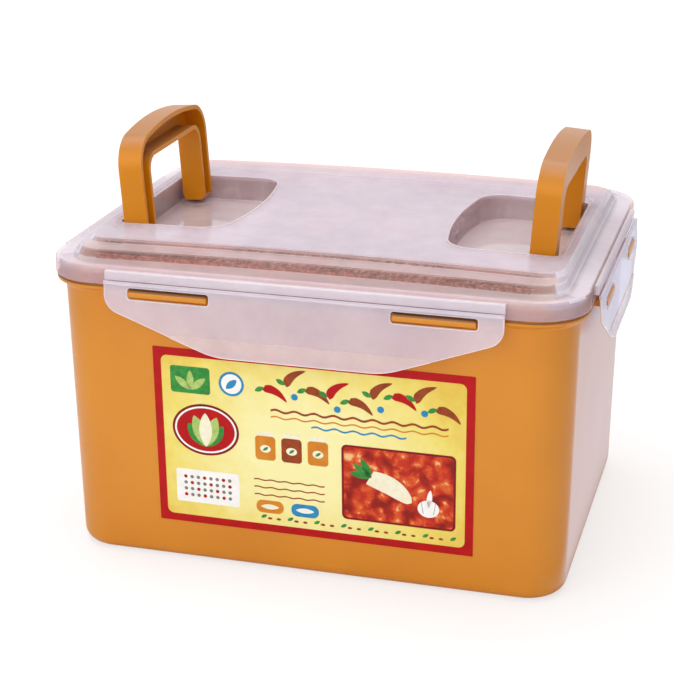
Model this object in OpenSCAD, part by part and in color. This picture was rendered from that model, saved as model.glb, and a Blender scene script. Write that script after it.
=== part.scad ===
// Lidded food keeper for salting and pressing: a tapered tub, a stepped lid with four hinged
// latches, two folding handles and an inner press plate.
// Millimetres. Z is up, the base stands on Z = 0, the label faces -Y, the handles stand at +-X.

/* [Tub] */
// Outside length of the tub at its base
base_l = 321; // [300:1:340]
// Outside width of the tub at its base
base_w = 242; // [225:1:255]
// Outside length of the tub just under the flange
top_l = 326; // [318:1:345]
// Outside width of the tub just under the flange
top_w = 253; // [246:1:265]
// Height from the base to the top of the flange
tub_h = 186; // [150:1:240]
// Radius of the upright corners at the base
base_r = 25.5; // [20:0.5:32]
// Radius of the upright corners under the flange
top_r = 27.5; // [22:0.5:34]
// Thickness of the side walls
wall_t = 2.4; // [1.8:0.1:3.2]
// Thickness of the floor
floor_t = 2.8; // [2:0.1:4]
// Radius of the outer edge round the base
base_edge_r = 8; // [5:0.5:12]
// How far the flange stands out from the wall
flange_out = 5.2; // [4:0.1:7]
// Height of the upright edge of the flange
flange_h = 3; // [2:0.1:5]
// Height of the sealing rim above the flange
rim_h = 6.8; // [5:0.1:9]

/* [Latch lugs] */
// Height of a lug
lug_h = 4.6; // [3:0.1:6]
// Drop from the flange top to the top of a front or back lug
lug_drop = 0.2; // [0.1:0.1:1]
// Drop from the flange top to the top of a side lug
side_lug_drop = 4.2; // [0.1:0.1:5]
// How far a lug stands out from the flange
lug_out = 6.3; // [5.5:0.1:8]
// Gap between a lug and each end of its slot
lug_end_gap = 1; // [0.5:0.1:2]

/* [Lid] */
// How far the skirt overhangs the flange
skirt_over = 0.8; // [0.2:0.1:2]
// Gap between the flange and the skirt
skirt_gap = 0.6; // [0.3:0.1:1.5]
// Height of the skirt
skirt_h = 11.4; // [10:0.1:16]
// Thickness of the lid
lid_t = 2.2; // [1.6:0.1:3]
// Width of the ledge behind the skirt
ledge_w = 13.4; // [11:0.2:18]
// Height of the first step
step_1_h = 4.7; // [3:0.1:7]
// Depth of the tread between the two steps, at the front and back
tread_w = 12; // [8:0.5:20]
// Height of the second step
step_2_h = 2.6; // [1.5:0.1:4]
// Width of the raised border round the top panel, at the front and back
border_w = 20; // [14:0.5:26]
// How far the top panel is sunk below its border
panel_sink = 1.1; // [0.5:0.1:2]
// Rise of the top along its length
crown = 2.8; // [1:0.1:4]
// Height of the lip round each handle well
lip_h = 0.5; // [0.3:0.1:1]
// Height of the floor of the handle wells above the flange
well_floor_up = 3.3; // [2.8:0.1:5]
// Length of the rib that keeps the gasket in place
gasket_rib_h = 5.6; // [4:0.1:8]

/* [Handles] */
// Distance of a handle's pivot from the middle of the lid
pivot_x = 132; // [128:0.5:136]
// Height of the pivot above the flange
pivot_up = 13.8; // [13.6:0.1:14]
// Width of a handle across its legs
handle_w = 122; // [100:1:124]
// Height of a handle from its pivot to the top of the grip
handle_h = 64.2; // [50:0.1:66]
// Thickness of a handle
handle_t = 15.8; // [12:0.1:16]
// Width of a leg
leg_w = 15.5; // [12:0.5:20]
// Depth of the grip at its middle
grip_h = 19.7; // [14:0.1:24]
// Radius of the arched top of the grip
grip_r = 250; // [180:1:270]
// Slope of the grip at its shoulders
grip_slope = 8.5; // [6:0.5:9.5]
// Radius of the shoulders
shoulder_r = 21; // [18:0.5:26]
// Radius of the inner corners of the handle
window_r = 9; // [5:0.5:12]
// Thickness of the walls of a handle
handle_wall = 3; // [2:0.1:4]
// Drop from the pivot to the end of a leg
leg_end = 7.6; // [6:0.1:7.6]
// Radius of the edges of a leg's end
leg_end_r = 4; // [4:0.1:6]
// Outward lean of an upright handle
handle_lean = 4; // [0:0.5:5]
// Radius of a pivot pin
pin_r = 3; // [2.5:0.1:3]
// Length of a pivot pin
pin_l = 5; // [3.5:0.1:6]
// Radial clearance of a pin in its socket
pin_fit = 0.05; // [0.03:0.01:0.1]
// Gap between a folded handle and the end of its well
fold_gap = 0.8; // [0.6:0.1:2]
// Gap between a handle and each side of its well
side_gap = 1.5; // [1:0.1:2.5]
// Gap between an upright handle and the outer end of its well
stand_gap = 3.2; // [2.4:0.1:3.6]
// Radius of the inner corners of a well
well_corner_r = 18; // [12:0.5:20]

/* [Latches] */
// Length of the front and back latches
latch_l = 248; // [200:2:250]
// Length of the side latches
side_latch_l = 172; // [150:2:186]
// Height of a latch from its hinge to its lower edge
latch_h = 41.5; // [32:0.5:50]
// Height of the ends of a latch
latch_end_h = 16; // [14:0.5:22]
// Length of the straight lower edge of the front and back latches
latch_foot_l = 106; // [60:2:150]
// Radius where the straight lower edge turns up, front and back
latch_foot_r = 55; // [20:1:70]
// Length of the straight lower edge of the side latches
side_foot_l = 84; // [50:2:110]
// Radius where the straight lower edge turns up, sides
side_foot_r = 35; // [14:1:40]
// Radius of the end corners of a latch
latch_end_r = 12; // [6:0.5:13]
// Height of the raised finger strip along the lower edge
tab_h = 12; // [6:0.5:14]
// Thickness of the finger strip
tab_t = 0.5; // [0.2:0.1:0.8]
// Thickness of a latch
latch_t = 2; // [1.6:0.1:2.4]
// Radius of the rolled hinge edge
hinge_r = 1.25; // [1.15:0.05:1.4]
// Distance of the hinge line from the skirt
hinge_out = 3.2; // [3:0.1:4.5]
// Height of the hinge line above the flange
hinge_up = 3.3; // [2.8:0.1:5]
// Outward lean of a closed latch
latch_lean = 4; // [0:0.5:6]
// Length of a slot in the front and back latches
slot_l = 52; // [30:1:60]
// Distance between the inner ends of the two slots, front and back
slot_gap = 113; // [60:1:120]
// Length of a slot in the side latches
side_slot_l = 34; // [24:1:38]
// Distance between the inner ends of the two slots, sides
side_slot_gap = 68; // [50:1:80]
// Height of a slot
slot_h = 6.9; // [6:0.1:8]
// Distance from the hinge line to the slots, front and back
slot_drop = 2.4; // [2.1:0.1:2.6]
// Distance from the hinge line to the slots, sides
side_slot_drop = 6.4; // [6.1:0.1:6.6]

/* [Seals and press plate] */
// Thickness of the lid gasket
gasket_t = 3; // [2:0.1:4]
// Gap kept between a seal and the faces that it meets
seal_gap = 0.1; // [0.05:0.01:0.3]
// Depth of the top of the press plate below the flange
plate_drop = 1.2; // [1.2:0.1:60]
// Thickness of the press plate
plate_t = 2.4; // [1.6:0.1:4]
// Width of the wiper seal round the press plate
wiper_w = 5.2; // [3:0.1:7]
// Height of the wiper seal
wiper_h = 4.4; // [3:0.1:6]
// Gap between the wiper seal and the tub wall
wiper_gap = 0.3; // [0.2:0.05:0.6]
// Distance from the edge of the press plate to its upright rim
plate_ledge = 6; // [5:0.2:8]
// Height of the upright rim of the press plate
plate_rim_h = 14.6; // [8:0.1:15]
// Thickness of the rim and the ribs of the press plate
plate_rib_t = 2; // [1.4:0.1:3]

/* [Label] */
// Length of the label
label_l = 204; // [150:1:220]
// Height of the label
label_h = 119.5; // [80:0.5:120]
// Shift of the label's middle towards +X
label_shift = 4; // [-8:0.5:8]
// Height of the label's lower edge
label_z = 27.5; // [20:0.5:50]
// Thickness of the label
label_t = 0.3; // [0.1:0.05:0.5]
// Thickness of a printed field
print_t = 0.08; // [0.04:0.01:0.2]
// Width of the label's border
label_border = 5.2; // [3:0.1:8]
// Radius of the corners of the label's inner field
label_r = 4; // [2:0.5:8]
// Radius of the round vegetable on the label
motif_r = 13; // [8:1:18]
// Distance of the vegetable from the left edge of the label's inner field
motif_x = 34; // [20:1:60]
// Distance of the vegetable from the upper edge of the label's inner field
motif_drop = 26; // [20:1:60]
// Length of the coloured panel on the label
panel_l = 72; // [40:1:90]
// Height of the coloured panel
panel_h = 34; // [20:1:50]
// Distance of the panel from the right and lower edges of the label's inner field
panel_in = 8; // [4:1:20]
// Glue gap between the label and the wall
glue_gap = 0.03; // [0.01:0.01:0.1]

/* [Hidden] */

half_turn = 180;

// Segments of a quarter circle in a lofted skin and in a flat outline
corner_n = 8;
round_n = 6;
// Segments of the long sides of the crowned lid
crown_n = 6;
$fn = 64;

// Half sizes of the tub at its base and under the flange
base_hx = base_l / 2;
base_hy = base_w / 2;
top_hx = top_l / 2;
top_hy = top_w / 2;
flange_hx = top_hx + flange_out;
flange_hy = top_hy + flange_out;
flange_fillet_h = 3.4;
foot_w = 12;
foot_h = 1.2;
inner_edge_r = base_edge_r - wall_t;
rim_top = tub_h + rim_h;

// Half sizes and heights of the lid
skirt_hx = flange_hx + skirt_over;
skirt_hy = flange_hy + skirt_over;
skirt_r = top_r + flange_out + skirt_over;
skirt_z = tub_h + skirt_gap;
ledge_z = skirt_z + skirt_h;
tread_z = ledge_z + step_1_h;
border_z = tread_z + step_2_h;
panel_z = border_z - panel_sink;
step_run = 4;
end_run = 2;
border_end_w = 5;
crown_r = (skirt_hx * skirt_hx + crown * crown) / (2 * crown);
gasket_top = rim_top + seal_gap + gasket_t;
rib_hx = top_hx - wall_t - 3;
rib_hy = top_hy - wall_t - 3;
rib_r = top_r - wall_t - 3;

// Handle wells
pivot_z = tub_h + pivot_up;
well_floor_z = tub_h + well_floor_up;
well_hy = handle_w / 2 + side_gap;
well_end_x = pivot_x + handle_t / 2 + stand_gap;
well_wall = 2;
// Radius of the arch where the grip is long enough for it between its two shoulders
arch_r = min(grip_r, ((handle_w / 2 - handle_wall) / cos(grip_slope)
    - (shoulder_r - handle_wall) * tan(45 - grip_slope / 2)) / tan(grip_slope));
socket_r = pin_r + 2;
socket_l = pin_l + 1.8;
land_r = 9;
land_h = 0.6;

// Latches
hinge_z = tub_h + hinge_up;
land_out = 2.2;
land_z = hinge_z + hinge_r;
land_top = ledge_z - 1.4;

// Press plate
plate_z = tub_h - plate_drop - plate_t;
plate_hx = half_at(base_hx, top_hx, plate_z) - wall_t - wiper_gap - wiper_w;
plate_hy = half_at(base_hy, top_hy, plate_z) - wall_t - wiper_gap - wiper_w;
plate_r = half_at(base_r, top_r, plate_z) - wall_t - wiper_gap - wiper_w;
rim_hx = plate_hx - plate_ledge;
rim_hy = plate_hy - plate_ledge;
rim_r = max(plate_r - plate_ledge / 2, 6);
plate_rib_h = 2;
grip_bar_l = 84;
grip_bar_w = 16;
grip_bar_h = 11;

// Label
label_tilt = atan((top_hy - base_hy) / tub_h);

// A half size of the drafted wall at height z
function half_at(base, top, z) = base + (top - base) * z / tub_h;

// Rise of the crowned lid at x, none at the ends of the skirt
function crown_at(x) = sqrt(crown_r * crown_r - x * x) - crown_r + crown;

// Quarter circle from angle a on
function quarter(cx, cy, r, a, n) =
    [for (k = [0:n]) [cx + r * cos(a + 90 * k / n), cy + r * sin(a + 90 * k / n)]];

// Rounded rectangle: the front half from left to right, then its mirror image back again.
// m is the number of segments of each long side.
function rounded_ring(hx, hy, r, n, m) =
    let (front = concat(
        quarter(-hx + r, -hy + r, r, 180, n),
        [for (k = [1:1:m - 1]) [-(hx - r) + 2 * (hx - r) * k / m, -hy]],
        quarter(hx - r, -hy + r, r, 270, n)))
    concat(front, [for (i = [len(front) - 1:-1:0]) [front[i][0], -front[i][1]]]);

// Outline whose corner k is rounded to radius radii[k]
function rounded_outline(pts, radii, n = round_n) =
    [for (k = [0:len(pts) - 1])
        each corner_points(pts[(k + len(pts) - 1) % len(pts)], pts[k],
            pts[(k + 1) % len(pts)], radii[k], n)];

function unit(v) = v / norm(v);

function corner_points(before, corner, after, r, n) =
    r <= 0 ? [corner] :
    let (
        u = unit(before - corner),
        v = unit(after - corner),
        half = acos(u * v) / 2,
        centre = corner + unit(u + v) * r / sin(half),
        from = corner + u * r / tan(half) - centre,
        turn = (180 - 2 * half) * (u[0] * v[1] - u[1] * v[0] > 0 ? -1 : 1))
    [for (k = [0:n])
        let (a = turn * k / n)
        centre + [from[0] * cos(a) - from[1] * sin(a), from[0] * sin(a) + from[1] * cos(a)]];

// Closed skin through rings [hx, hy, r, z, share of the crown]. The first and the last ring are
// closed by strips that run across from the front half to the back half.
module skin(rings, m = 1) {
    outlines = [for (g = rings)
        [for (p = rounded_ring(g[0], g[1], g[2], corner_n, m))
            [p[0], p[1], g[3] + g[4] * crown_at(p[0])]]];
    count = len(outlines[0]);
    last = (len(rings) - 1) * count;
    sides = [for (j = [0:len(rings) - 2]) for (i = [0:count - 1])
        let (a = j * count + i, b = j * count + (i + 1) % count)
        each [[a, a + count, b + count], [a, b + count, b]]];
    strips = [for (i = [0:count / 2 - 2]) [i, i + 1, count - 2 - i, count - 1 - i]];
    polyhedron(
        points = [for (o = outlines) each o],
        faces = concat(sides, strips,
            [for (s = strips) [last + s[3], last + s[2], last + s[1], last + s[0]]]));
}

// Prism of a rounded rectangle from height z0 to z1
module block(hx, hy, r, z0, z1) {
    translate([0, 0, z0])
    linear_extrude(z1 - z0)
    polygon(rounded_ring(hx, hy, r, corner_n, 1));
}

// Ring of the drafted tub wall at height z, moved outwards by out
function wall_ring(z, out) = [
    half_at(base_hx, top_hx, z) + out,
    half_at(base_hy, top_hy, z) + out,
    half_at(base_r, top_r, z) + out,
    z, 0];

// One lug, a bar with a rounded nose, rooted in the wall; hy is half the width of the flange
module lug(length, hy) {
    nose = lug_h / 2 - 0.4;
    root = -hy + flange_out + 1;
    translate([-length / 2, 0, 0])
    rotate([90, 0, 90])
    linear_extrude(length)
    polygon(rounded_outline(
        [[root, 0], [root, lug_h], [-hy - lug_out, lug_h], [-hy - lug_out, 0]],
        [0, 0, nose, nose]));
}

// The lugs of one pair of opposite latches
module lug_pair(slot, gap, hy, drop) {
    for (side = [0, half_turn], s = [-1, 1])
        rotate([0, 0, side])
        translate([s * (gap + slot) / 2, 0, tub_h - drop - lug_h])
        lug(slot - 2 * lug_end_gap, hy);
}

module tub() {
    flange_low = tub_h - flange_h;
    color("#d98a2b")
    union() {
        skin(concat(
            [wall_ring(foot_h, -base_edge_r - foot_w - 2)],
            [wall_ring(0, -base_edge_r - foot_w)],
            [for (k = [0:4])
                let (a = 90 * k / 4)
                wall_ring(base_edge_r * (1 - cos(a)), -base_edge_r * (1 - sin(a)))],
            [wall_ring(flange_low - flange_fillet_h, 0)],
            [wall_ring(flange_low - flange_fillet_h * 0.45, flange_out * 0.35)],
            [wall_ring(flange_low - flange_fillet_h * 0.1, flange_out * 0.85)],
            [for (o = [[flange_low, 0], [tub_h - 0.5, 0], [tub_h, 0.5]])
                [flange_hx - o[1], flange_hy - o[1], top_r + flange_out - o[1], o[0], 0]],
            [for (o = [[tub_h, 0.3], [rim_top - 0.6, 0.3], [rim_top, 0.9], [rim_top, wall_t - 0.3],
                    [rim_top - 0.6, wall_t + 0.3]])
                [top_hx - o[1], top_hy - o[1], top_r - o[1], o[0], 0]],
            [wall_ring(tub_h - 2, -wall_t)],
            [for (k = [4:-1:0])
                let (a = 90 * k / 4)
                wall_ring(floor_t + inner_edge_r * (1 - cos(a)),
                    -wall_t - inner_edge_r * (1 - sin(a)))]));
        lug_pair(slot_l, slot_gap, flange_hy, lug_drop);
        rotate([0, 0, 90]) lug_pair(side_slot_l, side_slot_gap, flange_hx, side_lug_drop);
    }
}

// Plan of a handle well, grown by g: the folded handle's outline with its gaps
function well_outline(g) =
    let (
        apex = arch_r * (1 / cos(grip_slope) - 1),
        tip = pivot_x - handle_h - fold_gap - g - apex,
        hy = well_hy + g,
        shoulder = tip + hy * tan(grip_slope),
        end = well_end_x + g)
    rounded_outline(
        [[end, -hy], [end, hy], [shoulder, hy], [tip, 0], [shoulder, -hy]],
        [5 + g, 5 + g, well_corner_r + g, arch_r, well_corner_r + g]);

// Solid under the crowned surface that lies up above the sunk panel
module under_crown(up) {
    translate([0, skirt_hy, panel_z + crown - crown_r])
    rotate([90, 0, 0])
    cylinder(r = crown_r + up, h = 2 * skirt_hy, $fn = 360);
}

// Hinge land along one edge of the skirt at distance hy from the middle
module hinge_land(length, hy) {
    translate([-length / 2, 0, 0])
    rotate([90, 0, 90])
    linear_extrude(length)
    polygon(rounded_outline(
        [[-hy + 1, land_z], [-hy + 1, land_top], [-hy - land_out, land_top],
            [-hy - land_out, land_z]],
        [0, 0, 1.4, 0.3]));
}

// Outer and inner rings of the lid
function lid_ring(in_x, in_y, r_cut, z, lift) =
    [skirt_hx - in_x, skirt_hy - in_y, skirt_r - r_cut, z, lift];

module lid_shell() {
    tread_y = ledge_w + step_run + tread_w;
    border_y = tread_y + step_run + border_w;
    tread_x = ledge_w + end_run + 1;
    border_x = tread_x + end_run + border_end_w;
    drop = lid_t - 0.2;
    skin([
        lid_ring(border_x + 3, border_y + 3, 20, panel_z - lid_t, 1),
        lid_ring(border_x, border_y, 19, border_z - lid_t, 1),
        lid_ring(tread_x + end_run + 1.5, tread_y + step_run + 1.8, 18, border_z - lid_t, 1),
        lid_ring(tread_x + 2, tread_y + 2, 17.2, tread_z - drop, 1),
        lid_ring(ledge_w + end_run + 2, ledge_w + step_run + 1.6, 16.4, tread_z - drop, 1),
        [rib_hx - lid_t, rib_hy - lid_t, rib_r - lid_t, ledge_z - lid_t, 0.6],
        [rib_hx - lid_t, rib_hy - lid_t, rib_r - lid_t, gasket_top - gasket_rib_h, 0],
        [rib_hx, rib_hy, rib_r, gasket_top - gasket_rib_h, 0],
        [rib_hx, rib_hy, rib_r, gasket_top + seal_gap, 0],
        lid_ring(lid_t + 0.6, lid_t + 0.6, lid_t + 0.6, gasket_top + seal_gap, 0),
        lid_ring(lid_t, lid_t, lid_t, gasket_top + seal_gap - 0.6, 0),
        lid_ring(lid_t, lid_t, lid_t, skirt_z, 0),
        lid_ring(0.5, 0.5, 0.5, skirt_z, 0),
        lid_ring(0, 0, 0, skirt_z + 0.6, 0),
        lid_ring(0.4, 0.4, 0.4, ledge_z - 2.2, 0),
        lid_ring(1.2, 1.2, 1.2, ledge_z - 0.7, 0),
        lid_ring(3, 3, 3, ledge_z, 0),
        lid_ring(ledge_w - 2, ledge_w - 2, ledge_w - 2, ledge_z + 0.1, 0.85),
        lid_ring(ledge_w, ledge_w, ledge_w, ledge_z + 0.7, 1),
        lid_ring(ledge_w + end_run * 0.7, ledge_w + step_run * 0.6, 14, tread_z - 1, 1),
        lid_ring(ledge_w + end_run, ledge_w + step_run, 15, tread_z - 0.2, 1),
        lid_ring(tread_x, tread_y - 1.5, 15.6, tread_z, 1),
        lid_ring(tread_x + 0.6, tread_y, 16, tread_z + 0.6, 1),
        lid_ring(tread_x + end_run * 0.8, tread_y + step_run * 0.7, 16.6, border_z - 0.5, 1),
        lid_ring(tread_x + end_run + 0.6, tread_y + step_run, 17, border_z, 1),
        lid_ring(border_x - 1.4, border_y - 1.4, 17.4, border_z, 1),
        lid_ring(border_x, border_y, 18, panel_z + panel_sink * 0.3, 1),
        lid_ring(border_x + 1.2, border_y + 1.2, 19, panel_z, 1)], crown_n);
}

module lid() {
    color("#e3dde4", 0.55)
    difference() {
        union() {
            lid_shell();
            for (s = [0, 1]) mirror([s, 0, 0]) {
                intersection() {
                    translate([0, 0, well_floor_z - well_wall])
                    linear_extrude(border_z)
                    polygon(well_outline(well_wall));
                    under_crown(lip_h);
                }
                for (y = [-1, 1])
                    translate([pivot_x, y * (well_hy + 0.5 + socket_l / 2), pivot_z])
                    rotate([90, 0, 0])
                    cylinder(r = socket_r, h = socket_l + 1, center = true);
            }
            for (a = [0, half_turn]) rotate([0, 0, a]) hinge_land(latch_l, skirt_hy);
            for (a = [90, 270]) rotate([0, 0, a]) hinge_land(side_latch_l, skirt_hx);
        }
        for (s = [0, 1]) mirror([s, 0, 0]) {
            difference() {
                translate([0, 0, well_floor_z])
                linear_extrude(border_z)
                polygon(well_outline(0));
                for (y = [-1, 1])
                    translate([pivot_x, y * (handle_w - leg_w) / 2, well_floor_z - 1])
                    cylinder(r = land_r, h = 1 + land_h);
            }
            translate([pivot_x, 0, pivot_z])
            rotate([90, 0, 0])
            cylinder(r = pin_r + pin_fit, h = handle_w + 2 * pin_l + 0.8, center = true);
        }
    }
}

module lid_gasket() {
    color("#d9d6d2")
    difference() {
        block(skirt_hx - lid_t - 0.4, skirt_hy - lid_t - 0.4, skirt_r - lid_t - 0.4,
            rim_top + seal_gap, gasket_top);
        block(rib_hx + 0.3, rib_hy + 0.3, rib_r + 0.3, rim_top, gasket_top + 1);
    }
}

module press_plate() {
    top = plate_z + plate_t;
    color("#4a4240")
    difference() {
        union() {
            block(plate_hx, plate_hy, plate_r, plate_z, top);
            difference() {
                block(rim_hx, rim_hy, rim_r, plate_z + 0.5, top + plate_rim_h);
                block(rim_hx - plate_rib_t, rim_hy - plate_rib_t, rim_r - plate_rib_t,
                    top, top + plate_rim_h + 1);
            }
            for (x = [-2:2])
                translate([x * rim_hx / 2.5 - plate_rib_t / 2, -rim_hy + 1, plate_z + 0.5])
                cube([plate_rib_t, 2 * rim_hy - 2, plate_t + plate_rib_h - 0.5]);
            translate([0, 0, top - 0.5])
            linear_extrude(grip_bar_h + 0.5)
            polygon(rounded_ring(grip_bar_l / 2, grip_bar_w / 2, grip_bar_w / 2 - 1, corner_n, 1));
        }
        for (s = [-1, 1])
            translate([0, s * (grip_bar_w / 2 + 1), top + grip_bar_h / 2])
            rotate([0, 90, 0])
            cylinder(r = grip_bar_h / 2 - 1.6, h = grip_bar_l - 24, center = true);
    }
}

module press_seal() {
    mid = plate_z + plate_t / 2;
    color("#8f8984")
    difference() {
        block(plate_hx + wiper_w, plate_hy + wiper_w, plate_r + wiper_w,
            mid - wiper_h / 2, mid + wiper_h / 2);
        block(plate_hx + seal_gap, plate_hy + seal_gap, plate_r + seal_gap,
            mid - wiper_h, mid + wiper_h);
    }
}

// A printed field of the label: an outline raised by one or more print layers
module field(layer) {
    translate([0, 0, label_t - print_t / 2])
    linear_extrude(print_t * (layer + 0.5))
    children();
}

// A plain round radish with a leaf on each side, drawn r wide
module radish(r) {
    circle(r = r);
    for (s = [-1, 1])
        translate([s * r * 0.5, r * 1.35])
        circle(r = r * 0.42);
}

module front_label() {
    hl = label_l / 2;
    in_l = label_l - 2 * label_border;
    in_h = label_h - 2 * label_border;
    translate([label_shift, -half_at(base_hy, top_hy, label_z) - glue_gap, label_z])
    rotate([90 + label_tilt, 0, 0]) {
        color("#c3161c")
        translate([-hl, 0, 0])
        cube([label_l, label_h, label_t]);
        color("#f0dc62")
        field(1)
        translate([0, label_h / 2])
        polygon(rounded_ring(in_l / 2, in_h / 2, label_r, corner_n, 1));
        color("#2f9e4f")
        field(2)
        translate([-in_l / 2 + motif_x, label_h - label_border - motif_drop])
        radish(motif_r);
        color("#b5301f")
        field(2)
        translate([in_l / 2 - panel_in - panel_l / 2, label_border + panel_in + panel_h / 2])
        polygon(rounded_ring(panel_l / 2, panel_h / 2, label_r, corner_n, 1));
    }
}

// Latch hanging from its hinge line, which lies along X through the origin
module latch(length, foot, foot_r, slot, gap, drop) {
    e = length / 2;
    f = foot / 2;
    outline = rounded_outline(
        [[-e, 0], [e, 0], [e, -latch_end_h], [f, -latch_h], [-f, -latch_h], [-e, -latch_end_h]],
        [0, 0, latch_end_r, foot_r, foot_r, latch_end_r]);
    color("#e3dde4", 0.55)
    rotate([-latch_lean, 0, 0]) {
        rotate([0, 90, 0])
        cylinder(r = hinge_r, h = length, center = true);
        rotate([90, 0, 0])
        difference() {
            union() {
                linear_extrude(latch_t, center = true)
                polygon(outline);
                linear_extrude(latch_t / 2 + tab_t)
                intersection() {
                    polygon(outline);
                    translate([-e, -latch_h - 1])
                    square([length, tab_h + 1]);
                }
            }
            for (s = [-1, 1])
                translate([s * (gap + slot) / 2, -drop - slot_h / 2, -latch_t])
                linear_extrude(2 * latch_t)
                polygon(rounded_ring(slot / 2, slot_h / 2, 1.6, corner_n, 1));
        }
    }
}

module long_latch() {
    translate([0, -skirt_hy - hinge_out, hinge_z])
    latch(latch_l, latch_foot_l, latch_foot_r, slot_l, slot_gap, slot_drop);
}

module side_latch() {
    translate([0, -skirt_hx - hinge_out, hinge_z])
    latch(side_latch_l, side_foot_l, side_foot_r, side_slot_l, side_slot_gap, side_slot_drop);
}

module front_latch() {
    long_latch();
}

module back_latch() {
    rotate([0, 0, half_turn]) long_latch();
}

module right_latch() {
    rotate([0, 0, 90]) side_latch();
}

module left_latch() {
    rotate([0, 0, -90]) side_latch();
}

// Prism from x0 to x1 of an outline in Y and Z
module across(x0, x1, pts) {
    translate([x0, 0, 0])
    rotate([90, 0, 90])
    linear_extrude(x1 - x0)
    polygon(pts);
}

// Arch of a handle, shrunk by g, down to height low
function arch_outline(g, low) =
    let (
        hy = handle_w / 2 - g,
        tip = handle_h - g + arch_r * (1 / cos(grip_slope) - 1),
        shoulder = tip - hy * tan(grip_slope))
    rounded_outline(
        [[-hy, low], [hy, low], [hy, shoulder], [0, tip], [-hy, shoulder]],
        [0, 0, shoulder_r - g, arch_r, shoulder_r - g]);

// Window of a handle, grown by g, down to height low
function window_outline(g, low) =
    let (hy = handle_w / 2 - leg_w + g, top = handle_h - grip_h + g)
    rounded_outline([[-hy, low], [hy, low], [hy, top], [-hy, top]],
        [0, 0, window_r + g, window_r + g]);

// Left handle about its pivot line: a channel whose open side faces the middle of the lid
module handle() {
    half_t = handle_t / 2;
    channel_low = handle_wall - leg_end;
    color("#e0861d")
    rotate([0, -handle_lean, 0]) {
        difference() {
            intersection() {
                across(-half_t, half_t, arch_outline(0, -leg_end));
                rotate([90, 0, 0])
                linear_extrude(2 * handle_w, center = true)
                polygon(rounded_outline(
                    [[-half_t, -leg_end], [half_t, -leg_end], [half_t, 2 * handle_h],
                        [-half_t, 2 * handle_h]],
                    [leg_end_r, leg_end_r, 0, 0]));
            }
            across(-handle_t, handle_t, window_outline(0, -handle_t));
            difference() {
                across(-half_t + handle_wall, handle_t, arch_outline(handle_wall, channel_low));
                across(-handle_t, 2 * handle_t, window_outline(handle_wall, -handle_t));
            }
        }
        for (s = [-1, 1])
            translate([0, s * (handle_w / 2 + (pin_l - 1.5) / 2), 0])
            rotate([90, 0, 0])
            cylinder(r = pin_r, h = pin_l + 1.5, center = true);
    }
}

module left_handle() {
    translate([-pivot_x, 0, pivot_z]) handle();
}

module right_handle() {
    mirror([1, 0, 0]) left_handle();
}

tub();
lid();
lid_gasket();
press_plate();
press_seal();
front_label();
front_latch();
back_latch();
left_latch();
right_latch();
left_handle();
right_handle();
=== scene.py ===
from math import acos, atan, cos, dist, pi, radians, sin, sqrt, tan

import bmesh
import bpy
from mathutils import Matrix, Vector


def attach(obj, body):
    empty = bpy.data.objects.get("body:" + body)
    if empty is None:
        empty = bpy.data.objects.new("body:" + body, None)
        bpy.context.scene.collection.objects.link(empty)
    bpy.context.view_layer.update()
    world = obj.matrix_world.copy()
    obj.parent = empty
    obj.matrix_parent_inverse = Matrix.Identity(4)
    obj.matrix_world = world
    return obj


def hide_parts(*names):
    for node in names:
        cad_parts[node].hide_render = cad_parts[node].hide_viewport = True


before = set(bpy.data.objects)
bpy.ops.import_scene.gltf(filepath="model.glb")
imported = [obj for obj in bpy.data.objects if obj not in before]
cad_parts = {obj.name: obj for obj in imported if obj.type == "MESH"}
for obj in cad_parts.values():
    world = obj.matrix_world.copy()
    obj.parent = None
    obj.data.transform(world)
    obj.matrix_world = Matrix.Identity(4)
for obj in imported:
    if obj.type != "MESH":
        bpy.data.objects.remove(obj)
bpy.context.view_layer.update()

# All sizes below are millimetres unless a name says otherwise; meshes are scaled to metres once
mm = 0.001

# The view of the photograph: place, aim and lens found by fitting the keeper's edges
cameraSettings = {
    "place": (293.7, -1084.8, 526.5),
    "aim": (-18.5, 0.0, 125.5),
    "rollDegrees": -0.253,
    "lens": 94.675,
    "sensor": 36,
    "shift": (0.00797, -0.01915),
    "clipMetres": (0.05, 30),
}


def addObject(name, data):
    made = bpy.data.objects.new(name, data)
    bpy.context.scene.collection.objects.link(made)
    return made


def makeCamera(settings):
    data = bpy.data.cameras.new("photoCamera")
    data.lens = settings["lens"]
    data.sensor_width = settings["sensor"]
    data.shift_x, data.shift_y = settings["shift"]
    data.clip_start, data.clip_end = settings["clipMetres"]
    camera = addObject("photoCamera", data)
    back = (Vector(settings["place"]) - Vector(settings["aim"])).normalized()
    right = Vector((0, 0, 1)).cross(back).normalized()
    up = back.cross(right)
    roll = radians(settings["rollDegrees"])
    turnedRight = right * cos(roll) + up * sin(roll)
    turnedUp = up * cos(roll) - right * sin(roll)
    turn = Matrix((turnedRight, turnedUp, back)).transposed().to_4x4()
    camera.matrix_world = Matrix.Translation(Vector(settings["place"]) * mm) @ turn
    bpy.context.scene.camera = camera


makeCamera(cameraSettings)
bpy.context.scene.view_settings.view_transform = "Standard"
print("camera made")


# Shader helpers

def linear(hexColour):
    parts = [int(hexColour[i:i + 2], 16) / 255 for i in (1, 3, 5)]
    return [c / 12.92 if c <= 0.04045 else ((c + 0.055) / 1.055) ** 2.4 for c in parts] + [1.0]


def blobs(sizeMm, detail, broken):
    # noise settings for blobs about sizeMm across
    return {"Scale": 1 / (sizeMm * mm), "Detail": detail, "Roughness": broken}


def span(source, target, unit=1):
    # range settings that carry the source's two ends to the target's
    return {"From Min": source[0] * unit, "From Max": source[1] * unit,
            "To Min": target[0], "To Max": target[1]}


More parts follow.
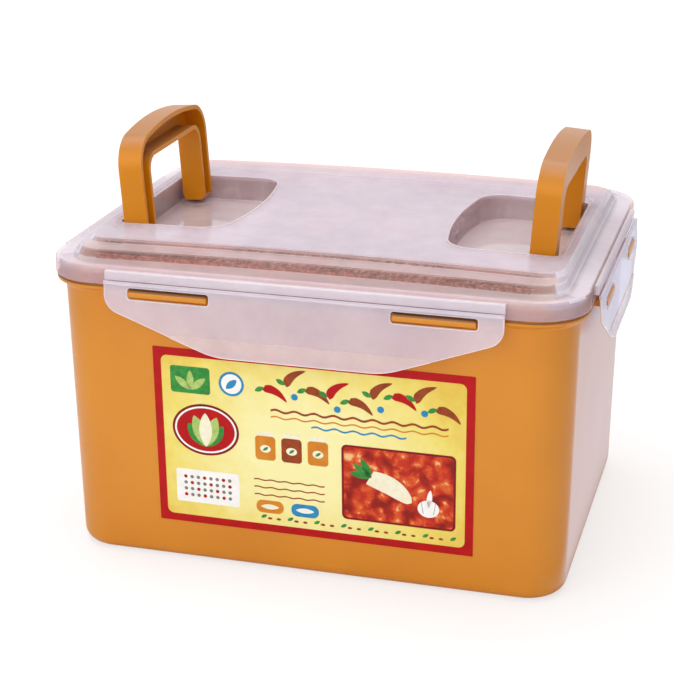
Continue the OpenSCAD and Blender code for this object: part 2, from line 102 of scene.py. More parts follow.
def addNode(tree, kind, settings=None, links=None):
    # settings name an attribute, an input or a ramp's stops, with colours as hex; links join an
    # input to a node, which stands for its first output, or to (node, output)
    node = tree.nodes.new("ShaderNode" + kind)
    for key, value in (settings or {}).items():
        if key == "stops":
            stops = node.color_ramp.elements
            while len(stops) < len(value):
                stops.new(0.5)
            for stop, (place, colour) in zip(stops, value):
                stop.position = place
                stop.color = linear(colour)
        elif isinstance(key, str) and hasattr(node, key):
            setattr(node, key, value)
        else:
            node.inputs[key].default_value = linear(value) if isinstance(value, str) else value
    for key, link in (links or {}).items():
        source, output = link if isinstance(link, tuple) else (link, 0)
        tree.links.new(source.outputs[output], node.inputs[key])
    return node


def newMaterial(name):
    # material, its empty tree, and the link that gives the place in the piece's own space
    material = bpy.data.materials.new(name)
    material.use_nodes = True
    tree = material.node_tree
    tree.nodes.clear()
    return material, tree, (addNode(tree, "TexCoord"), "Object")


# Materials of the keeper

orangeSettings = {
    "upperBrown": "#8e6240",
    # painted shade under the lid's skirt: its colour, and the heights where its band rises and falls
    "joint": "#5e3209",
    "jointShadeRiseMm": (184.4, 185.1),
    "jointShadeFallMm": (185.78, 185.98),
    # size of the blobs in mm, detail, roughness of the noise
    "flow": (70, 2.0, 0.5),
    "grain": (0.9, 4.0, 0.6),
    "grainDepthMm": 0.02,
    # light tone, deep tone, roughness, specular level, share of the browner upper faces, share of painted
    # shade at the joint
    "tub": ("#da8a14", "#d3830f", 0.3, 0.5, 0.0, 0.85),
    "handle": ("#dc8a0c", "#d08008", 0.34, 0.32, 0.75, 0.0),
}


def mouldedOrange(name, finish):
    # moulded polypropylene: a satin skin with mould grain, drawn coarser than real so that it shows,
    # and faint flow clouds of tone; where a share is given, the upward faces are drawn browner, and a
    # band of painted shade darkens the top of the flange just under the skirt
    s = orangeSettings
    light, deep, roughness, specular, bleachedShare, jointShare = finish
    material, tree, place = newMaterial(name)
    flow, grain = (addNode(tree, "TexNoise", blobs(*s[noise]), {"Vector": place})
                   for noise in ("flow", "grain"))
    even = addNode(tree, "ValToRGB", {"stops": ((0.3, deep), (0.7, light))}, {"Fac": flow})
    geometry = addNode(tree, "NewGeometry")
    facing = addNode(tree, "SeparateXYZ", links={"Vector": (geometry, "Normal")})
    # upward faces are drawn browner, by the given share
    bleaching = addNode(tree, "MapRange", span((0.35, 0.95), (0, bleachedShare)), {"Value": (facing, "Z")})
    toned = addNode(tree, "MixRGB", {"Color2": s["upperBrown"]}, {"Fac": bleaching, "Color1": even})
    # painted shade: the top of the flange, just under the skirt, is darkened as the skirt's shadow
    height = addNode(tree, "SeparateXYZ", links={"Vector": place})
    rising = addNode(tree, "MapRange", span(s["jointShadeRiseMm"], (0, jointShare), mm),
                     {"Value": (height, "Z")})
    falling = addNode(tree, "MapRange", span(s["jointShadeFallMm"], (1, 0), mm), {"Value": (height, "Z")})
    joint = addNode(tree, "Math", {"operation": "MULTIPLY"}, {0: rising, 1: falling})
    colour = addNode(tree, "MixRGB", {"Color2": s["joint"]}, {"Fac": joint, "Color1": toned})
    gloss = addNode(tree, "MapRange", span((0, 1), (roughness - 0.05, roughness + 0.07)), {"Value": grain})
    bump = addNode(tree, "Bump", {"Strength": 0.35, "Distance": s["grainDepthMm"] * mm}, {"Height": grain})
    shader = addNode(tree, "BsdfPrincipled", {"IOR": 1.49, "Specular IOR Level": specular},
                     {"Base Color": colour, "Roughness": gloss, "Normal": bump})
    addNode(tree, "OutputMaterial", links={"Surface": shader})
    return material


frostSettings = {
    # the two tones of milk that cloud into each other
    "tones": {
        "lid": ("#eae1ed", "#f6f0f7"),
        "step": ("#dbbcb2", "#e8cec4"),
        "well": ("#e3d2d0", "#efe4e4"),
        "band": ("#ecd8d8", "#f6e8e6"),
        "rim": ("#f8f3f9", "#fdfbfe"),
    },
    "tint": "#f8f2f8",
    "glow": 0.22,
    "unevenShare": 0.16,
    "fadeMm": (132, 152),
    # size of the blobs in mm, detail, roughness of the noise
    "cloud": (38, 3.0, 0.55),
    "grain": (0.7, 3.0, 0.6),
    "patches": (14, 5.0, 0.62),
    "grainDepthMm": 0.012,
}
# name, share of milk on level and on steep faces, tone, tint of what shows through, roughness,
# clear coat, and share of milk added towards the two ends of the keeper
frostFinishes = {
    "lid": ("polypropyleneFrostedLid", 0.54, 0.34, "lid", "#f8f0f5", 0.13, 0, 0),
    "step": ("polypropylenePolishedStep", 0.2, 0.17, "step", "#f6e2dc", 0.13, 0, 0.45),
    "well": ("polypropyleneGlossyWell", 0.66, 0.44, "well", "#fbf5fa", 0.06, 1, 0),
    "band": ("polypropyleneFrostedThin", 0.42, 0.3, "band", "#faeaec", 0.13, 0, 0.25),
    "skirt": ("polypropyleneFrostedSkirt", 0.5, 0.34, "lid", "#fbe6da", 0.13, 0, 0),
    "side": ("polypropyleneFrostedSide", 0.68, 0.78, "lid", "#fbf5fa", 0.13, 0, 0),
    "latch": ("polypropyleneFrostedLatch", 0.6, 0.56, "lid", "#fbf5fa", 0.13, 0, 0),
    "rim": ("polypropyleneMilkyRim", 0.95, 0.92, "rim", "#fbf5fa", 0.08, 0, 0),
    "tab": ("polypropyleneFrostedTab", 0.52, 0.48, "rim", "#fff6f4", 0.13, 0, 0),
}


def frostedPolypropylene(name, level, steep, tone, tint, roughness, coat, endShare):
    # frosted polypropylene: milky body that lets what is near behind it show through, clearer on
    # the steep faces, with soft gloss, faint flow marks and grain coarser than real
    s = frostSettings
    material, tree, place = newMaterial(name)
    cloud, grain, patches = (addNode(tree, "TexNoise", blobs(*s[noise]), {"Vector": place})
                             for noise in ("cloud", "grain", "patches"))
    milk = addNode(tree, "ValToRGB", {"stops": tuple(zip((0.3, 0.7), s["tones"][tone]))}, {"Fac": cloud})
    bump = addNode(tree, "Bump", {"Strength": 0.3, "Distance": s["grainDepthMm"] * mm}, {"Height": grain})
    surface = addNode(tree, "BsdfPrincipled",
                      {"Roughness": roughness, "IOR": 1.49, "Coat Weight": coat, "Coat IOR": 1.7},
                      {"Base Color": milk, "Normal": bump})
    through = addNode(tree, "BsdfTranslucent", {"Color": s["tint"]})
    milky = addNode(tree, "MixShader", {0: s["glow"]}, {1: surface, 2: through})
    clear = addNode(tree, "BsdfTransparent", {"Color": tint})
    geometry = addNode(tree, "NewGeometry")
    facing = addNode(tree, "SeparateXYZ", links={"Vector": (geometry, "Normal")})
    upDown = addNode(tree, "Math", {"operation": "ABSOLUTE"}, {0: (facing, "Z")})
    share = addNode(tree, "MapRange", span((0.7, 0.97), (steep, level)), {"Value": upDown})
    uneven = addNode(tree, "MapRange", span((0, 1), (-s["unevenShare"] / 2, s["unevenShare"] / 2)),
                     {"Value": patches})
    body = addNode(tree, "Math", {"operation": "ADD", "use_clamp": True}, {0: share, 1: uneven})
    if endShare:
        along = addNode(tree, "SeparateXYZ", links={"Vector": place})
        outward = addNode(tree, "Math", {"operation": "ABSOLUTE"}, {0: (along, "X")})
        fade = addNode(tree, "MapRange", span(s["fadeMm"], (0, endShare), mm), {"Value": outward})
        body = addNode(tree, "Math", {"operation": "ADD", "use_clamp": True}, {0: body, 1: fade})
    mixed = addNode(tree, "MixShader", links={0: body, 1: clear, 2: milky})
    addNode(tree, "OutputMaterial", links={"Surface": mixed})
    return material


speckleSettings = {
    # size of the blobs in mm, detail, roughness and stretch of the noise
    "specks": (3.0, 5.0, 0.75, (1, 0.4, 1)),
    "patches": (40, 2.0, 0.5, (1, 0.3, 0.3)),
    "stops": (0.4, 0.46, 0.54, 0.62),
    "floor": ("#4c3e40", "#8d7672", "#b59b96", "#eaddda"),
    "rim": ("#7c3527", "#c05a48", "#dc7460", "#f2b4a2"),
    "rimFromMm": (186, 192),
    "redMiddleMm": -25,
    "redReachMm": (45, 125),
    "redLeast": 0.15,
}


def speckledPlastic(name):
    # pressed regrind plastic: grey-mauve floor, rim stained red-brown along its middle, both full of
    # dark and pale specks that show through the lid as two mottled bands; the specks are drawn
    # coarser than real ones, and longer from front to back, so that they show
    s = speckleSettings
    material, tree, place = newMaterial(name)
    noises = []
    for *noise, stretch in (s["specks"], s["patches"]):
        stretched = addNode(tree, "Mapping", {"Scale": stretch}, {"Vector": place})
        noises.append(addNode(tree, "TexNoise", blobs(*noise), {"Vector": stretched}))
    specks, patches = noises
    floor, rim = (addNode(tree, "ValToRGB", {"stops": tuple(zip(s["stops"], s[zone]))},
                          {"Fac": specks}) for zone in ("floor", "rim"))
    along = addNode(tree, "SeparateXYZ", links={"Vector": place})
    raised = addNode(tree, "MapRange", span(s["rimFromMm"], (0, 1), mm), {"Value": (along, "Z")})
    patchy = addNode(tree, "MapRange", span((0.3, 0.5), (0, 1)), {"Value": patches})
    aside = addNode(tree, "Math", {"operation": "SUBTRACT", 1: s["redMiddleMm"] * mm}, {0: (along, "X")})
    away = addNode(tree, "Math", {"operation": "ABSOLUTE"}, {0: aside})
    middle = addNode(tree, "MapRange", span(s["redReachMm"], (1, s["redLeast"]), mm), {"Value": away})
    stained = addNode(tree, "Math", {"operation": "MULTIPLY"}, {0: patchy, 1: middle})
    share = addNode(tree, "Math", {"operation": "MULTIPLY"}, {0: raised, 1: stained})
    mixed = addNode(tree, "MixRGB", links={"Fac": share, "Color1": floor, "Color2": rim})
    shader = addNode(tree, "BsdfPrincipled", {"Roughness": 0.55, "IOR": 1.49}, {"Base Color": mixed})
    addNode(tree, "OutputMaterial", links={"Surface": shader})
    return material


def siliconeRubber(name, tone, unevenMm=6):
    # cast silicone: soft sheen and slight unevenness
    material, tree, place = newMaterial(name)
    uneven = addNode(tree, "TexNoise", blobs(unevenMm, 2.0, 0.5), {"Vector": place})
    bump = addNode(tree, "Bump", {"Strength": 0.3, "Distance": 0.05 * mm}, {"Height": uneven})
    shader = addNode(tree, "BsdfPrincipled",
                     {"Base Color": tone, "Roughness": 0.5, "IOR": 1.41}, {"Normal": bump})
    addNode(tree, "OutputMaterial", links={"Surface": shader})
    return material


tubPlastic = mouldedOrange("polypropyleneMouldedOrange", orangeSettings["tub"])
handlePlastic = mouldedOrange("polypropyleneMouldedHandle", orangeSettings["handle"])
frosted = {zone: frostedPolypropylene(*finish) for zone, finish in frostFinishes.items()}
print("materials made")

# The hidden pieces keep their CAD meshes
hiddenFinishes = (("lid_gasket", siliconeRubber("siliconeCastGasket", "#d9d4d0")),
                  ("press_plate", speckledPlastic("regrindPlasticPressed")),
                  ("press_seal", siliconeRubber("siliconeCastWiper", "#8f8984")))
for node, material in hiddenFinishes:
    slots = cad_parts[node].data.materials
    slots.clear()
    slots.append(material)
print("hidden pieces finished")


# Outlines

def oval(a, b, steps=40):
    return [(a * cos(2 * pi * k / steps), b * sin(2 * pi * k / steps))
            for k in range(steps)]


def roundedRing(hx, hy, r, steps, cross=1):
    # rounded rectangle: front half from left to right, then its mirror image back again; cross is
    # the number of stretches between the two front corners
    front = []
    for k in range(steps + 1):
        a = radians(180 + 90 * k / steps)
        front.append((-hx + r + r * cos(a), -hy + r + r * sin(a)))
    for k in range(1, cross):
        front.append((-(hx - r) + 2 * (hx - r) * k / cross, -hy))
    for k in range(steps + 1):
        a = radians(270 + 90 * k / steps)
        front.append((hx - r + r * cos(a), -hy + r + r * sin(a)))
    return front + [(x, -y) for x, y in reversed(front)]


def roundedOutline(corners, steps=10):
    # outline through [x, y, radius] corners
    made = []
    for k, (x, y, r) in enumerate(corners):
        corner = Vector((x, y))
        if r <= 0:
            made.append(corner)
            continue
        u = (Vector(corners[k - 1][:2]) - corner).normalized()
        v = (Vector(corners[(k + 1) % len(corners)][:2]) - corner).normalized()
        half = acos(max(-1, min(1, u.dot(v)))) / 2
        centre = corner + (u + v).normalized() * r / sin(half)
        start = corner + u * r / tan(half) - centre
        turn = (pi - 2 * half) * (-1 if u.x * v.y - u.y * v.x > 0 else 1)
        for step in range(steps + 1):
            a = turn * step / steps
            made.append(centre + Vector((start.x * cos(a) - start.y * sin(a),
                                         start.x * sin(a) + start.y * cos(a))))
    return [tuple(p) for p in made]


def softPath(points, cuts, steps, measured=(0, 1)):
    # path whose corner k is cut back by cuts[k] and rounded; points may have any number of values,
    # and those named by measured give the lengths
    pull = 0.5523  # makes a cubic curve follow a quarter circle
    made = []
    for k, point in enumerate(points):
        if cuts[k] <= 0 or k in (0, len(points) - 1):
            made.append(list(point))
            continue
        ends = []
        for other in (points[k - 1], points[k + 1]):
            reach = dist([point[i] for i in measured], [other[i] for i in measured])
            share = min(cuts[k] / reach, 0.5) if reach > 0 else 0
            ends.append([p + (o - p) * share for p, o in zip(point, other)])
        for step in range(steps + 1):
            t = step / steps
            w = ((1 - t) ** 3, 3 * (1 - t) ** 2 * t, 3 * (1 - t) * t * t, t ** 3)
            made.append([w[0] * a + w[1] * (a + pull * (c - a)) + w[2] * (b + pull * (c - b)) + w[3] * b
                         for a, c, b in zip(ends[0], point, ends[1])])
    return made


# Meshes

def finishMesh(name, mesh, body, materials, node=None, sharpAngle=40, weighted=True):
    # piece that rides on the body, stands for the CAD node and takes the given materials
    mesh.transform(Matrix.Scale(mm, 4))
    mesh.validate()
    for polygon in mesh.polygons:
        polygon.use_smooth = True
    mesh.set_sharp_from_angle(angle=radians(sharpAngle))
    made = addObject(name, mesh)
    for material in materials:
        mesh.materials.append(material)
    if weighted:
        made.modifiers.new("weightedNormals", "WEIGHTED_NORMAL").keep_sharp = True
    if body:
        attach(made, body)
    if node:
        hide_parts(node)
    return made


def fixNormals(mesh, weld=0):
    work = bmesh.new()
    work.from_mesh(mesh)
    if weld:
        bmesh.ops.remove_doubles(work, verts=work.verts, dist=weld)
    bmesh.ops.recalc_face_normals(work, faces=work.faces)
    work.to_mesh(mesh)
    work.free()
    return mesh


def meshFrom(name, points, faces):
    mesh = bpy.data.meshes.new(name)
    mesh.from_pydata([tuple(p) for p in points], [], faces)
    return mesh


def loft(name, outlines, strips):
    # closed skin through rings of 3-D points; the two ends are closed by one face each, or by
    # strips that run across from the front half to the back half
    count = len(outlines[0])
    points = [p for outline in outlines for p in outline]
    faces = [(j * count + i, j * count + (i + 1) % count,
              (j + 1) * count + (i + 1) % count, (j + 1) * count + i)
             for j in range(len(outlines) - 1) for i in range(count)]
    for first, order in ((0, -1), ((len(outlines) - 1) * count, 1)):
        if strips:
            caps = [[first + i, first + i + 1, first + count - 2 - i, first + count - 1 - i]
                    for i in range(count // 2 - 1)]
        else:
            caps = [[first + i for i in range(count)]]
        faces += [cap[::order] for cap in caps]
    return fixNormals(meshFrom(name, points, faces))


def prism(name, outline, low, high):
    # outline in X and Y raised from low to high
    count = len(outline)
    points = [(x, y, low) for x, y in outline] + [(x, y, high) for x, y in outline]
    faces = [list(range(count))[::-1], [count + i for i in range(count)]]
    faces += [(i, (i + 1) % count, count + (i + 1) % count, count + i) for i in range(count)]
    return fixNormals(meshFrom(name, points, faces))


def placed(mesh, matrix):
    mesh.transform(matrix)
    if matrix.determinant() < 0:
        mesh.flip_normals()
    return mesh


def acrossX(name, outline, low, high):
    # outline in Y and Z raised along X
    return placed(prism(name, outline, low, high),
                  Matrix(((0, 0, 1, 0), (1, 0, 0, 0), (0, 1, 0, 0), (0, 0, 0, 1))))


def rod(radius, length, axis, centre, sides=32):
    # round bar along an axis
    turn = Vector((0, 0, 1)).rotation_difference(Vector(axis)).to_matrix().to_4x4()
    return placed(prism("rod", oval(radius, radius, sides), -length / 2, length / 2),
                  Matrix.Translation(Vector(centre)) @ turn)


def applied(data, kind=None, **settings):
    # mesh that a mesh or curve becomes, with one modifier where a kind is named
    part = addObject("working", data)
    if kind:
        step = part.modifiers.new("step", kind)
        for key, value in settings.items():
            setattr(step, key, value)
    graph = bpy.context.evaluated_depsgraph_get()
    graph.update()
    made = bpy.data.meshes.new_from_object(part.evaluated_get(graph))
    bpy.data.objects.remove(part)
    return made


def cut(mesh, tool, operation="DIFFERENCE"):
    blade = addObject("blade", tool)
    made = applied(mesh, "BOOLEAN", operation=operation, object=blade, solver="EXACT")
    bpy.data.objects.remove(blade)
    return made


def rounded(mesh, width, segments, angle):
    # every edge sharper than angle is rounded to width
    return applied(mesh, "BEVEL", width=width, segments=segments, limit_method="ANGLE",
                   angle_limit=radians(angle), use_clamp_overlap=True, miter_outer="MITER_ARC")


def plate(name, outlines, thickness, edge, segments):
    # flat plate in X and Y with rounded edges and holes: the first outline is the outer one
    curve = bpy.data.curves.new(name, "CURVE")
    curve.dimensions = "2D"
    curve.fill_mode = "BOTH"
    curve.extrude = thickness / 2 - edge
    curve.bevel_depth = edge
    curve.bevel_resolution = segments
    curve.offset = -edge
    for outline in outlines:
        spline = curve.splines.new("POLY")
        spline.points.add(len(outline) - 1)
        for point, (x, y) in zip(spline.points, outline):
            point.co = (x, y, 0, 1)
        spline.use_cyclic_u = True
    mesh = fixNormals(applied(curve), weld=0.001)
    mesh.materials.clear()
    return mesh


def joined(name, meshes):
    work = bmesh.new()
    for mesh in meshes:
        work.from_mesh(mesh)
    made = bpy.data.meshes.new(name)
    work.to_mesh(made)
    work.free()
    return made


def withMaterial(mesh, index):
    for polygon in mesh.polygons:
        polygon.material_index = index
    return mesh


def turnedTo(degrees, axis="Z"):
    return Matrix.Rotation(radians(degrees), 4, axis)


# Tub

tubSize = {
    "baseHalfX": 160.5,
    "baseHalfY": 121.0,
    "topHalfX": 163.0,
    "topHalfY": 126.5,
    "baseCorner": 25.5,
    "topCorner": 27.5,
    "height": 186.0,
    "wall": 2.4,
    "floor": 2.8,
    "edge": 8.0,
    "footWidth": 20,
    "footRise": 1.2,
    "flangeOut": 5.2,
    "flangeHeight": 3.0,
    # fillet under the flange: outward, down from the flange, rounding
    "flangeFillet": ((0, 3.4, 1.4), (1.82, 1.53, 1.4), (4.42, 0.34, 0.4)),
    "rimHeight": 6.8,
    "rimTaper": 0.3,
    "lugHeight": 4.6,
    "lugOut": 6.3,
    # length, gap between the two, drop from the flange's top, side, turns of the two sides
    "lugs": ((50.0, 113.0, 0.2, "HalfY", (0, 180)), (32.0, 68.0, 4.2, "HalfX", (90, 270))),
    "cornerSteps": 16,
}


def drafted(name, z):
    # half width or corner radius of the tapered wall at height z
    low, high = tubSize["base" + name], tubSize["top" + name]
    return low + (high - low) * min(z, tubSize["height"]) / tubSize["height"]


def makeTub():
    s = tubSize
    wall, taper, top = s["wall"], s["rimTaper"], s["height"]
    flangeLow = top - s["flangeHeight"]
    rimTop = top + s["rimHeight"]
    inner = s["edge"] - wall
    # outward, height, rounding: from the foot up the outside and down the inside
    corners = [(-s["footWidth"] - 2, s["footRise"], 0), (-s["footWidth"], 0, 0.8), (0, 0, s["edge"])]
    corners += [(out, flangeLow - down, soft) for out, down, soft in s["flangeFillet"]]
    corners += [
        (s["flangeOut"], flangeLow, 0.4), (s["flangeOut"], top, 0.7), (-taper, top, 0.5),
        (-taper, rimTop, 0.6), (-wall + taper, rimTop, 0.5), (-wall - taper, rimTop - 2 * taper, 0.3),
        (-wall, top - 2, 0.5), (-wall, s["floor"], inner), (-wall - inner - 4, s["floor"], 0),
    ]
    outlines = []
    for out, z in softPath([c[:2] for c in corners], [c[2] for c in corners], 7):
        ring = roundedRing(drafted("HalfX", z) + out, drafted("HalfY", z) + out,
                           max(drafted("Corner", z) + out, 1), s["cornerSteps"])
        outlines.append([(x, y, z) for x, y in ring])
    shell = loft("tubShell", outlines, strips=False)
    lugs = []
    for length, gap, drop, reach, turns in s["lugs"]:
        root = s["top" + reach] - 1
        tip = s["top" + reach] + s["flangeOut"] + s["lugOut"]
        nose = s["lugHeight"] / 2 - 0.4
        section = roundedOutline([(-root, 0, 0), (-tip, 0, nose), (-tip, s["lugHeight"], nose),
                                  (-root, s["lugHeight"], 0)], 8)
        for turn in turns:
            for side in (-1, 1):
                along = side * (gap + length + 2) / 2
                place = turnedTo(turn) @ Matrix.Translation((along, 0, top - drop - s["lugHeight"]))
                bar = placed(acrossX("lug", section, -length / 2, length / 2), place)
                lugs.append(rounded(bar, 0.5, 3, 50))
    finishMesh("tubMoulded", joined("tubShell", [shell] + lugs), "keeper", [tubPlastic], "tub")


makeTub()
print("tub made")


# Lid

lidSize = {
    "skirtHalfX": 169.0,
    "skirtHalfY": 132.5,
    "corner": 33.5,
    "skirtLow": 186.6,
    "skirtEdge": 0.5,
    "ledge": 198.0,
    "ledgeUnder": 196.0,
    "tread": 202.7,
    "border": 205.3,
    "panel": 204.2,
    "thickness": 2.2,
    "ledgeWidth": 13.4,
    "stepRun": 4.0,
    "endRun": 2.0,
    "treadWidth": 12.0,
    "borderWidth": 20.0,
    "endBorder": 5.0,
    "crown": 2.8,
    "ribInset": 11.4,
    "ribLow": 190.5,
    "wellFloor": 189.3,
    "wellWall": 2.0,
    "wellCorner": 18.0,
    "lip": 0.5,
    "landLow": 190.55,
    "landTop": 196.6,
    "landOut": 2.2,
    # length, side, turns of the two sides
    "lands": ((248.0, "skirtHalfY", (0, 180)), (172.0, "skirtHalfX", (90, 270))),
    "padRadius": 9.0,
    "padHeight": 0.6,
    "socketWall": 2.0,
    "cornerSteps": 14,
    "crownSteps": 28,
}
# material slots of the lid, in this order
lidZones = ("lid", "step", "well", "band", "skirt", "side")
handleSize = {
    "pivotX": 132.0,
    "pivotZ": 199.8,
    "halfWidth": 61.0,
    "height": 64.2,
    "thickness": 15.8,
    "legWidth": 15.5,
    "legEnd": 7.6,
    "legEndRound": 4.0,
    "gripHeight": 19.7,
    "gripRadius": 250.0,
    "slope": 8.5,
    "shoulder": 21.0,
    "window": 9.0,
    "wall": 3.0,
    "leanDegrees": 4.0,
    "pinRadius": 3.0,
    "pinLength": 5.0,
    "foldGap": 0.8,
    "sideGap": 1.5,
    "standGap": 3.2,
    "roundEdge": 0.9,
}


def crownAt(x):
    # rise of the lid's gently arched top at x
    half, rise = lidSize["skirtHalfX"], lidSize["crown"]
    radius = (half * half + rise * rise) / (2 * rise)
    return sqrt(max(radius * radius - x * x, 0)) - radius + rise


def crowned(ring, z, share):
    return [(x, y, z + share * crownAt(x)) for x, y in ring]


def wellOutline(grow):
    # outline of the space that the folded handle fills, with its gaps
    h = handleSize
    slope = radians(h["slope"])
    apex = h["gripRadius"] * (1 / cos(slope) - 1)
    tip = h["pivotX"] - h["height"] - h["foldGap"] - grow - apex
    hy = h["halfWidth"] + h["sideGap"] + grow
    shoulder = tip + hy * tan(slope)
    end = h["pivotX"] + h["thickness"] / 2 + h["standGap"] + grow
    r = lidSize["wellCorner"] + grow
    return roundedOutline([(end, -hy, 5 + grow), (end, hy, 5 + grow), (shoulder, hy, r),
                           (tip, 0, h["gripRadius"]), (shoulder, -hy, r)], 14)


def makeLid():
    s = lidSize
    t, w, skirt = s["thickness"], s["ledgeWidth"], s["skirtEdge"]
    treadY = w + s["stepRun"] + s["treadWidth"]
    borderY = treadY + s["stepRun"] + s["borderWidth"]
    treadX = w + s["endRun"] + 1
    borderX = treadX + s["endRun"] + s["endBorder"]
    rib, ribInner = s["ribInset"], s["ribInset"] + t
    treadUnder = s["tread"] - t + 0.2
    # inset along X, inset along Y, corner cut, height, share of the crown, rounding: along the
    # underside from the middle outwards, round the skirt, and back over the top
    rows = [
        (borderX + 3, borderY + 3, 20, s["panel"] - t, 1, 0),
        (borderX, borderY, 19, s["border"] - t, 1, 0.8),
        (treadX + s["endRun"] + 1.5, treadY + s["stepRun"] + 1.8, 18, s["border"] - t, 1, 0.8),
        (treadX + 2, treadY + 2, 17.2, treadUnder, 1, 0.8),
        (w + s["endRun"] + 2, w + s["stepRun"] + 1.6, 16.4, treadUnder, 1, 0.8),
        (ribInner, ribInner, ribInner, s["ledge"] - t, 0.6, 1.2),
        (ribInner, ribInner, ribInner, s["ribLow"], 0, 0.4),
        (rib, rib, rib, s["ribLow"], 0, 0.4),
        (rib, rib, rib, s["ledgeUnder"], 0, 0.4),
        (t + 0.6, t + 0.6, t + 0.6, s["ledgeUnder"], 0, 0.4),
        (t, t, t, s["ledgeUnder"] - 0.6, 0, 0.4),
        (t, t, t, s["skirtLow"], 0, 0.3),
        (skirt, skirt, skirt, s["skirtLow"], 0, 0.3),
        (0, 0, 0, s["skirtLow"] + 0.6, 0, 0.4),
        (0.2, 0.2, 0.2, s["ledge"], 0, 2.6),
        (w, w, w, s["ledge"] + 0.1, 1, 1.6),
        (w + s["endRun"] * 0.9, w + s["stepRun"] * 0.8, 15, s["tread"], 1, 1.5),
        (treadX + 0.2, treadY, 16, s["tread"], 1, 1.2),
        (treadX + s["endRun"], treadY + s["stepRun"] * 0.8, 17, s["border"], 1, 1.3),
        (borderX - 0.6, borderY - 0.6, 17.6, s["border"], 1, 0.9),
        (borderX + 0.6, borderY + 0.6, 18.4, s["panel"], 1, 0.9),
        (borderX + 3, borderY + 3, 20, s["panel"], 1, 0),
    ]
    outlines = []
    for inX, inY, cutR, z, lift in softPath([r[:5] for r in rows], [r[5] for r in rows], 5, (1, 3)):
        ring = roundedRing(s["skirtHalfX"] - inX, s["skirtHalfY"] - inY, s["corner"] - cutR,
                           s["cornerSteps"], s["crownSteps"])
        outlines.append(crowned(ring, z, lift))
    shell = loft("lidShell", outlines, strips=True)
    markZones(shell, w - 2.5, treadY + s["stepRun"] + 1)
    wells, lands = [], []
    for side in (1, -1):
        mirror = Matrix.Scale(side, 4, (1, 0, 0))
        hole = prism("wellHole", wellOutline(s["wellWall"] / 2), s["wellFloor"] - 9, s["panel"] + 16)
        shell = cut(shell, placed(hole, mirror))
        wells.append(withMaterial(placed(makeWell(), mirror), lidZones.index("well")))
    for length, reach, turns in s["lands"]:
        root, face = 1 - s[reach], -s[reach] - s["landOut"]
        section = roundedOutline([(root, s["landLow"], 0), (face, s["landLow"], 0.4),
                                  (face, s["landTop"], 1.5), (root, s["landTop"], 0)], 8)
        for turn in turns:
            bar = placed(acrossX("land", section, -length / 2, length / 2), turnedTo(turn))
            lands.append(withMaterial(rounded(bar, 0.4, 2, 50), lidZones.index("side")))
    finishMesh("lidMoulded", joined("lidShell", [shell] + wells + lands), "keeper",
               [frosted[zone] for zone in lidZones], "lid")


def markZones(shell, start, end):
    # at the front and back the two steps take the clearest material, and the tread and the ledge
    # the next; the skirt has a warmer one, and the ledge and the steps at the ends are the milkiest
    s = lidSize
    for polygon in shell.polygons:
        x, y, z = polygon.center
        nx, ny, nz = (abs(v) for v in polygon.normal)
        inX, inY = s["skirtHalfX"] - abs(x), s["skirtHalfY"] - abs(y)
        zone = "lid"
        if nz < 0.8 and min(inX, inY) < 3 and z < s["ledge"] - 0.3:
            zone = "skirt"
        if z >= s["ledge"] - s["thickness"] + 0.3:
            if z > s["ledge"] - 0.3 and nz > 0.8 and min(inX, inY) < start:
                zone = "band" if inY < inX else "side"
            elif ny > nx and start < inY < end and nz < 0.93:
                zone = "step"
            elif nx > ny and nz < 0.93 and inX > 3:
                zone = "side"
            elif start < inY < end and inX > s["ledgeWidth"] + 6:
                zone = "band"
        polygon.material_index = lidZones.index(zone)


def makeWell():
    # liner of one handle well: outer skin, lip that follows the crown, wall, rounded floor edge
    s, h = lidSize, handleSize
    wall, floor, lip = s["wellWall"], s["wellFloor"], s["panel"] + s["lip"]
    # growth of the outline, height, share of the crown, rounding
    rows = [(-3.0, floor - wall, 0, 0), (wall, floor - wall, 0, 2.0), (wall, s["panel"] - 0.3, 1, 0),
            (wall, lip, 1, 0.45), (0, lip, 1, 0.6), (0, floor, 0, 1.4), (-3.0, floor, 0, 0)]
    path = softPath([r[:3] for r in rows], [r[3] for r in rows], 5)
    liner = loft("liner", [crowned(wellOutline(grow), z, lift) for grow, z, lift in path], strips=False)
    boreRadius = h["pinRadius"] + 0.05
    along, pivot = (0, 1, 0), (h["pivotX"], 0, h["pivotZ"])
    parts = [cut(liner, rod(boreRadius, 2 * (h["halfWidth"] + 12), along, pivot))]
    socketLength = h["pinLength"] + 1.8
    for side in (-1, 1):
        pad = rounded(rod(s["padRadius"], s["padHeight"] + 1, (0, 0, 1),
                          (0, 0, (s["padHeight"] - 1) / 2), 48), 0.25, 2, 50)
        middle = side * (h["halfWidth"] - h["legWidth"] / 2)
        parts.append(placed(pad, Matrix.Translation((h["pivotX"], middle, floor))))
        reach = h["halfWidth"] + h["sideGap"] + 0.2 + socketLength / 2
        boss = rod(h["pinRadius"] + s["socketWall"], socketLength, along,
                   (h["pivotX"], side * reach, h["pivotZ"]))
        bore = rod(boreRadius, 2 * (h["halfWidth"] + h["pinLength"] + 0.4), along, pivot)
        parts.append(cut(boss, bore))
    return joined("well", parts)


makeLid()
print("lid made")


# Latches

latchSize = {
    "height": 41.5,
    "endHeight": 16.0,
    "endRound": 12.0,
    "thickness": 2.0,
    "edge": 0.95,
    "hingeRadius": 1.25,
    "hingeOut": 3.2,
    "hingeZ": 189.3,
    "leanDegrees": 4.0,
    "slotHeight": 6.9,
    "slotCorner": 1.8,
    # finger strip along the lower edge
    "tabHeight": 12.0,
    "tabRise": 0.5,
    "tabInside": 0.25,
    # length, foot, foot rounding, slot length, gap between the slots, drop of the slots
    "long": (248.0, 106.0, 55.0, 52.0, 113.0, 2.4),
    "side": (172.0, 84.0, 35.0, 34.0, 68.0, 6.4),
}
# material slots of a latch, in this order
latchZones = ("latch", "rim", "tab")


